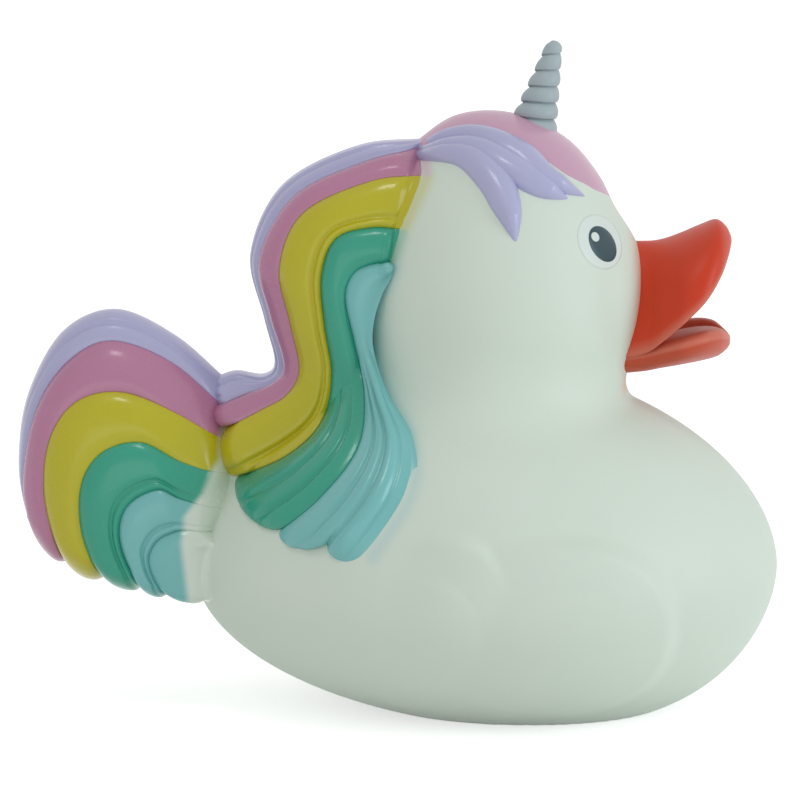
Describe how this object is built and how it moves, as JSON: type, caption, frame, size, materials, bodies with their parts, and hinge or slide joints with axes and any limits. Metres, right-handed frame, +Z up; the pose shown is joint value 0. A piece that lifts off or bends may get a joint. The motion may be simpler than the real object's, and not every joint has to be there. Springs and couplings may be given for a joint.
{
  "type": "rubber duck",
  "caption": "Floating bath duck with a flowing banded mane and tail, a spiral horn, an open bill and wings moulded in relief, standing on a flat base.",
  "frame": {"origin": "middle of the flat face that it stands on", "axes": "+X towards the bill, +Z up, and y = 0 is the mirror plane"},
  "size_m": [0.1103, 0.0732, 0.0961],
  "materials": {
    "vinyl_white": "satin",
    "hair_lilac": "semi-gloss paint",
    "hair_pink": "semi-gloss paint",
    "hair_yellow": "semi-gloss paint",
    "hair_green": "semi-gloss paint",
    "hair_turquoise": "semi-gloss paint",
    "horn_grey": "satin paint",
    "beak_orange": "satin paint",
    "eye_dark": "glossy print"
  },
  "bodies": {
    "root": {"duck": "vinyl_white"}
  },
  "joints": []
}
